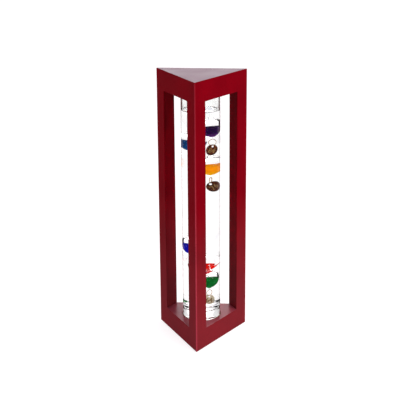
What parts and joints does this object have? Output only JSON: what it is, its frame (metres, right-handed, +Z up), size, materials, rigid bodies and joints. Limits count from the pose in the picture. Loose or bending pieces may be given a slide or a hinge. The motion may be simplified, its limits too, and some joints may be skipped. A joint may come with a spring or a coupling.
{
  "type": "galileo thermometer",
  "caption": "Galileo thermometer: sealed glass tube of clear liquid with coloured glass floats and hanging tags, standing in a three-sided red lacquered wood frame.",
  "frame": {"origin": "on the resting plane under the felt, straight below the centre of the three-sided frame; the tube stands 1 mm towards +X of it", "axes": "+Z up along the tube; one corner post faces -Y, and the flat side opposite it faces +Y"},
  "size_m": [0.1042, 0.0903, 0.315],
  "materials": {
    "red_lacquer": "satin",
    "bare_wood": "matte",
    "felt": "matte",
    "cork": "matte",
    "foam": "matte",
    "clear_glass": "gloss",
    "blown_glass": "gloss",
    "clear_liquid": "gloss",
    "brass_wire": "polished",
    "brass_tag": "satin",
    "purple_dye": "gloss",
    "teal_dye": "gloss",
    "orange_dye": "gloss",
    "blue_dye": "gloss",
    "red_dye": "gloss",
    "green_dye": "gloss"
  },
  "bodies": {
    "frame": {"base_felt": "felt", "base_block": "red_lacquer", "top_block": "red_lacquer", "post_dowels": "bare_wood", "tube_seat_pad": "cork", "top_cushion": "foam", "glass_foot": "clear_glass", "glass_tube": "clear_glass", "filling_liquid": "clear_liquid", "post_front": "red_lacquer", "post_right": "red_lacquer", "post_left": "red_lacquer"},
    "purple_float": {"purple_float": "blown_glass", "purple_dye": "purple_dye"},
    "purple_tag": {"purple_ring": "brass_wire", "purple_tag": "brass_tag"},
    "teal_float": {"teal_float": "blown_glass", "teal_dye": "teal_dye"},
    "teal_tag": {"teal_ring": "brass_wire", "teal_tag": "brass_tag"},
    "orange_float": {"orange_float": "blown_glass", "orange_dye": "orange_dye"},
    "orange_tag": {"orange_ring": "brass_wire", "orange_tag": "brass_tag"},
    "blue_float": {"blue_float": "blown_glass", "blue_dye": "blue_dye"},
    "blue_tag": {"blue_ring": "brass_wire", "blue_tag": "brass_tag"},
    "red_float": {"red_float": "blown_glass", "red_dye": "red_dye"},
    "red_tag": {"red_ring": "brass_wire", "red_tag": "brass_tag"},
    "green_float": {"green_float": "blown_glass", "green_dye": "green_dye"},
    "green_tag": {"green_ring": "brass_wire", "green_tag": "brass_tag"}
  },
  "joints": [
    {"name": "purple_rise", "type": "slide", "parent": "frame", "child": "purple_float", "axis": [0, 0, 1], "range_m": [-0.0015, 0.002], "stiffness_N_per_m": 1, "springref_m": 0.0613, "deforming": ["filling_liquid"]},
    {"name": "purple_tag_swing", "type": "hinge", "parent": "purple_float", "child": "purple_tag", "pos_m": [0.01115, -0.0012, 0.24013], "axis": [1, 0, 0], "range_deg": [-20, 8]},
    {"name": "teal_rise", "type": "slide", "parent": "frame", "child": "teal_float", "axis": [0, 0, 1], "range_m": [-0.001, 0.003], "stiffness_N_per_m": 1, "springref_m": 0.0613, "deforming": ["filling_liquid"]},
    {"name": "teal_tag_swing", "type": "hinge", "parent": "teal_float", "child": "teal_tag", "pos_m": [-0.00519, 0.0056, 0.22232], "axis": [0.6428, 0.766, 0], "range_deg": [0, 12]},
    {"name": "orange_rise", "type": "slide", "parent": "frame", "child": "orange_float", "axis": [0, 0, 1], "range_m": [-0.02, 0.001], "stiffness_N_per_m": 1, "springref_m": 0.0613, "deforming": ["filling_liquid"]},
    {"name": "orange_tag_swing", "type": "hinge", "parent": "orange_float", "child": "orange_tag", "pos_m": [0.007, 0.0072, 0.1939], "axis": [0, 1, 0], "range_deg": [-15, 10]},
    {"name": "blue_rise", "type": "slide", "parent": "frame", "child": "blue_float", "axis": [0, 0, 1], "range_m": [0, 0.02], "deforming": ["filling_liquid"]},
    {"name": "blue_tag_swing", "type": "hinge", "parent": "blue_float", "child": "blue_tag", "pos_m": [-0.00547, -0.004, 0.09967], "axis": [0.9848, 0.1736, 0], "range_deg": [-8, 1]},
    {"name": "red_rise", "type": "slide", "parent": "frame", "child": "red_float", "axis": [0, 0, 1], "range_m": [0, 0.001], "deforming": ["filling_liquid"]},
    {"name": "red_tag_swing", "type": "hinge", "parent": "red_float", "child": "red_tag", "pos_m": [0.0014, 0.0072, 0.0756], "axis": [0.9397, 0.342, 0], "range_deg": [-5, 8]},
    {"name": "green_rise", "type": "slide", "parent": "frame", "child": "green_float", "axis": [0, 0, 1], "range_m": [-0.0009, 0], "stiffness_N_per_m": 1, "springref_m": 0.0617, "deforming": ["filling_liquid"]},
    {"name": "green_tag_swing", "type": "hinge", "parent": "green_float", "child": "green_tag", "pos_m": [0.0086, -0.0056, 0.0586], "axis": [0.5, 0.866, 0], "range_deg": [-8, 8]}
  ]
}
